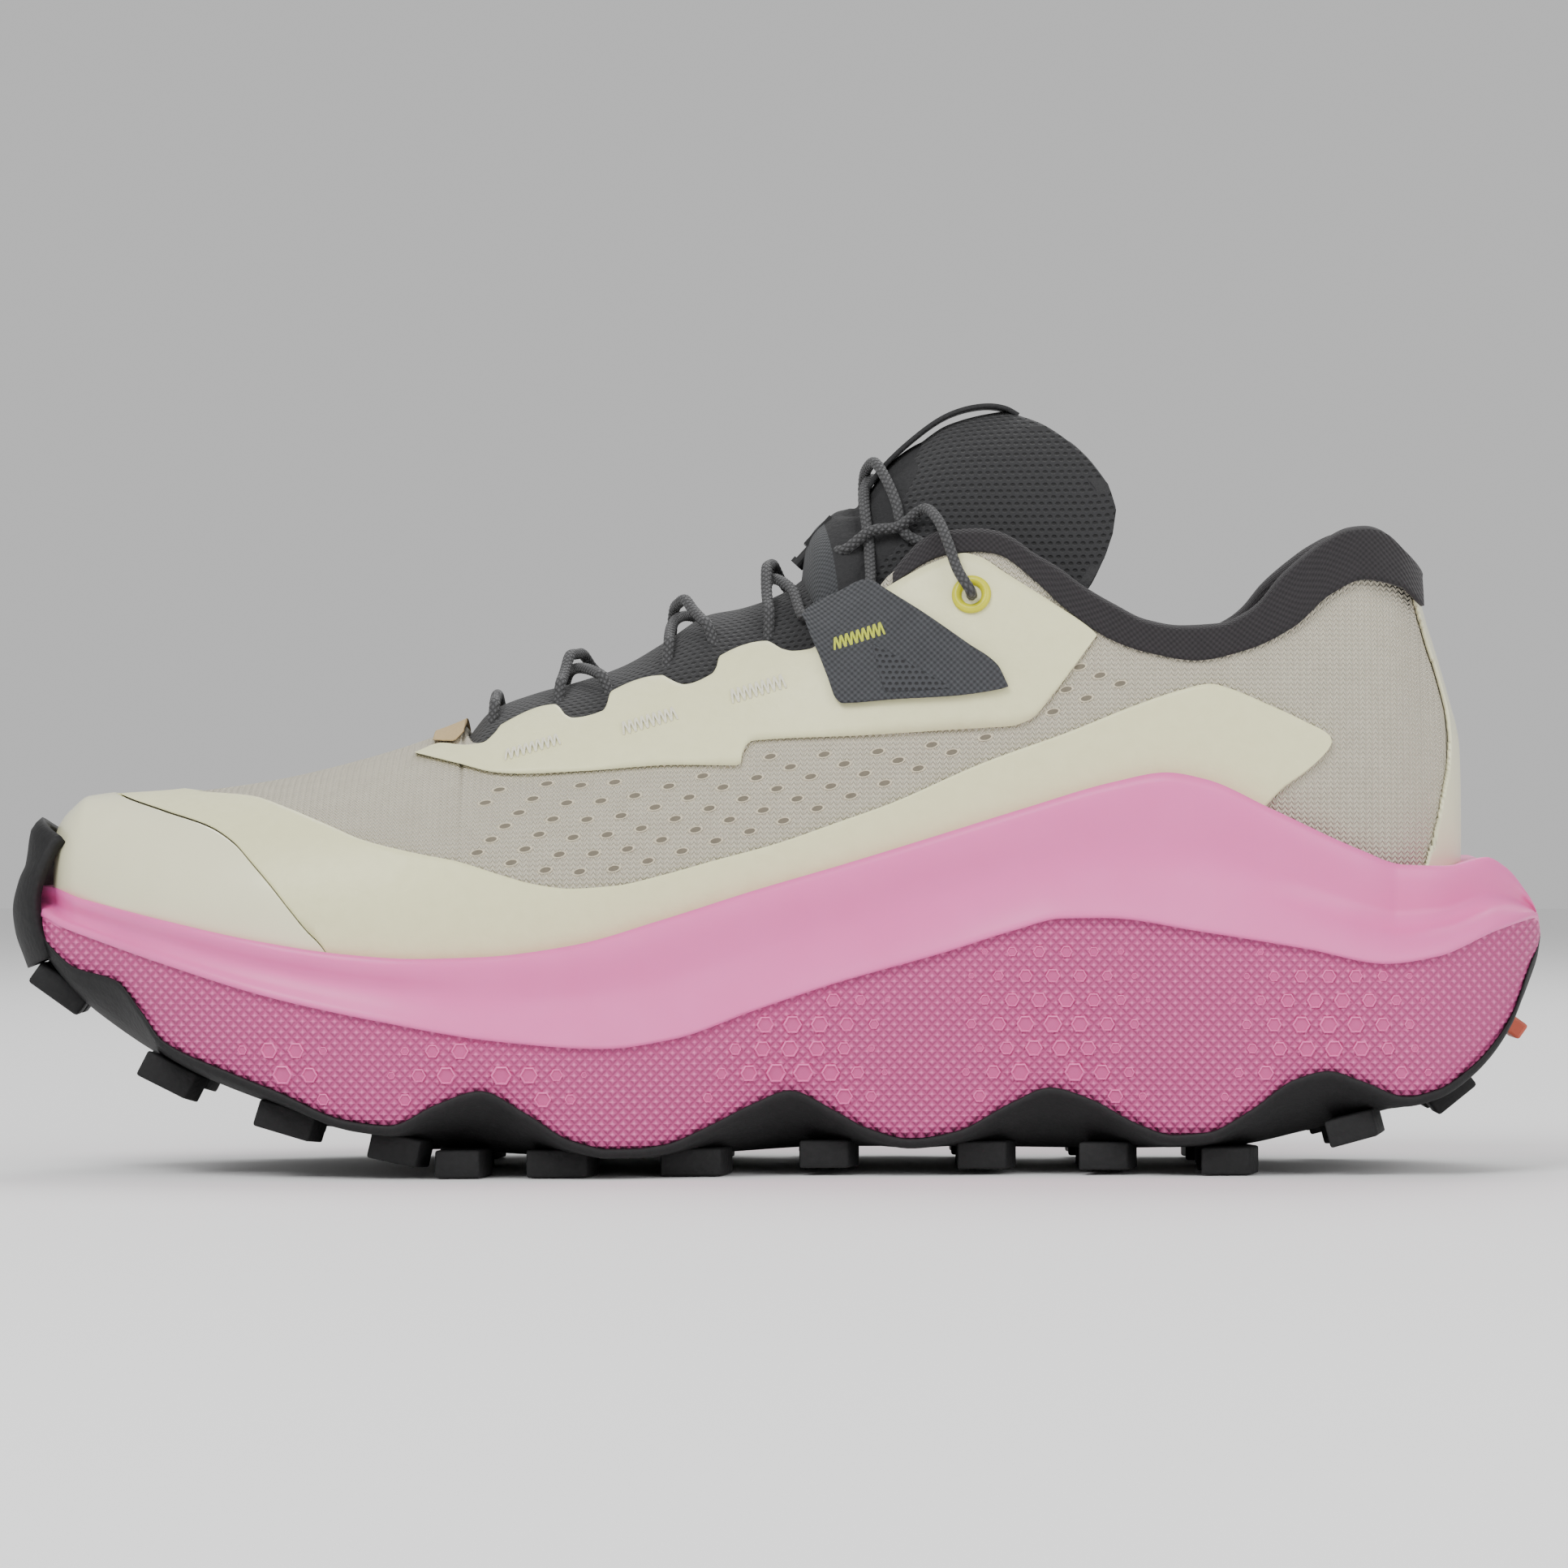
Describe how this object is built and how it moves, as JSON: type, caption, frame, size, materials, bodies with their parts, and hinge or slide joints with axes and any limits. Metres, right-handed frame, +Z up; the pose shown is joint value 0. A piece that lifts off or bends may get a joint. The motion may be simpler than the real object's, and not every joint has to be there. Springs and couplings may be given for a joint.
{
  "type": "trail running shoe",
  "caption": "Right-foot trail running shoe with a tall wave-edged foam sole, lugged rubber outsole, knitted upper, tilting tongue top, lift-out insole and sprung lace lock.",
  "frame": {"origin": "centre of the bounding box, on the ground plane", "axes": "+X from toe to heel, +Y from the medial to the lateral side, +Z up"},
  "size_m": [0.28, 0.109, 0.1414],
  "materials": {
    "outsole": "matt textured rubber",
    "heel_colour_lug": "matt rubber",
    "midsole": "moulded foam with a fine texture",
    "strobel_board": "stitched board",
    "insole": "textile over foam",
    "upper_knit": "engineered knit",
    "toe_cap": "moulded film, satin gloss",
    "toe_puff": "thermoplastic sheet",
    "side_film": "bonded film",
    "eyestay_film": "bonded film",
    "throat_patch": "woven patch",
    "heel_strip": "bonded film",
    "heel_counter": "thermoplastic cup",
    "heel_lining": "brushed textile",
    "collar_foam": "open-cell foam",
    "collar_lining": "soft textile",
    "tongue_lower": "padded air mesh",
    "tongue_top": "padded spacer mesh",
    "tongue_binding": "folded binding tape",
    "tongue_pull_strap": "woven webbing",
    "lace_pocket": "stretch mesh",
    "pocket_band": "elastic tape",
    "lace": "braided round cord",
    "lace_lock_body": "moulded plastic",
    "lace_lock_button": "moulded plastic",
    "eyelet": "moulded ring",
    "wing": "dense woven webbing",
    "wing_bar_tack": "embroidery thread",
    "lace_loop": "woven tape",
    "bar_tack": "embroidery thread"
  },
  "bodies": {
    "shoe": {"outsole": "outsole", "heel_colour_lug": "heel_colour_lug", "midsole": "midsole", "strobel_board": "strobel_board", "upper_knit": "upper_knit", "toe_cap": "toe_cap", "toe_puff": "toe_puff", "side_film": "side_film", "eyestay_film_medial": "eyestay_film", "eyestay_film_lateral": "eyestay_film", "throat_patch": "throat_patch", "heel_strip": "heel_strip", "heel_counter": "heel_counter", "heel_lining": "heel_lining", "collar_foam": "collar_foam", "collar_lining_medial": "collar_lining", "collar_lining_lateral": "collar_lining", "tongue_lower": "tongue_lower", "lace_pocket": "lace_pocket", "pocket_band": "pocket_band", "lace": "lace", "lace_lock_body": "lace_lock_body", "eyelet_medial": "eyelet", "wing_medial": "wing", "wing_bar_tack_medial": "wing_bar_tack", "lace_loop_medial_1": "lace_loop", "bar_tack_medial_1": "bar_tack", "lace_loop_medial_2": "lace_loop", "bar_tack_medial_2": "bar_tack", "lace_loop_medial_3": "lace_loop", "bar_tack_medial_3": "bar_tack", "eyelet_lateral": "eyelet", "wing_lateral": "wing", "wing_bar_tack_lateral": "wing_bar_tack", "lace_loop_lateral_1": "lace_loop", "bar_tack_lateral_1": "bar_tack", "lace_loop_lateral_2": "lace_loop", "bar_tack_lateral_2": "bar_tack", "lace_loop_lateral_3": "lace_loop", "bar_tack_lateral_3": "bar_tack"},
    "tongue_flap": {"tongue_top": "tongue_top", "tongue_binding": "tongue_binding", "tongue_pull_strap": "tongue_pull_strap"},
    "insole": {"insole": "insole"},
    "lock_button": {"lace_lock_button": "lace_lock_button"}
  },
  "joints": [
    {"name": "tongue_fold", "type": "hinge", "parent": "shoe", "child": "tongue_flap", "pos_m": [0.02, 0.0048, 0.125], "axis": [0, -1, 0], "range_deg": [-3, 24]},
    {"name": "insole_lift", "type": "hinge", "parent": "shoe", "child": "insole", "pos_m": [-0.127, 0, 0.044], "axis": [0, -1, 0], "range_deg": [0, 5]},
    {"name": "lock_press", "type": "slide", "parent": "shoe", "child": "lock_button", "axis": [0.6749, 0, 0.7379], "range_m": [0, 0.0025], "stiffness_N_per_m": 300, "springref_m": -0.003}
  ]
}
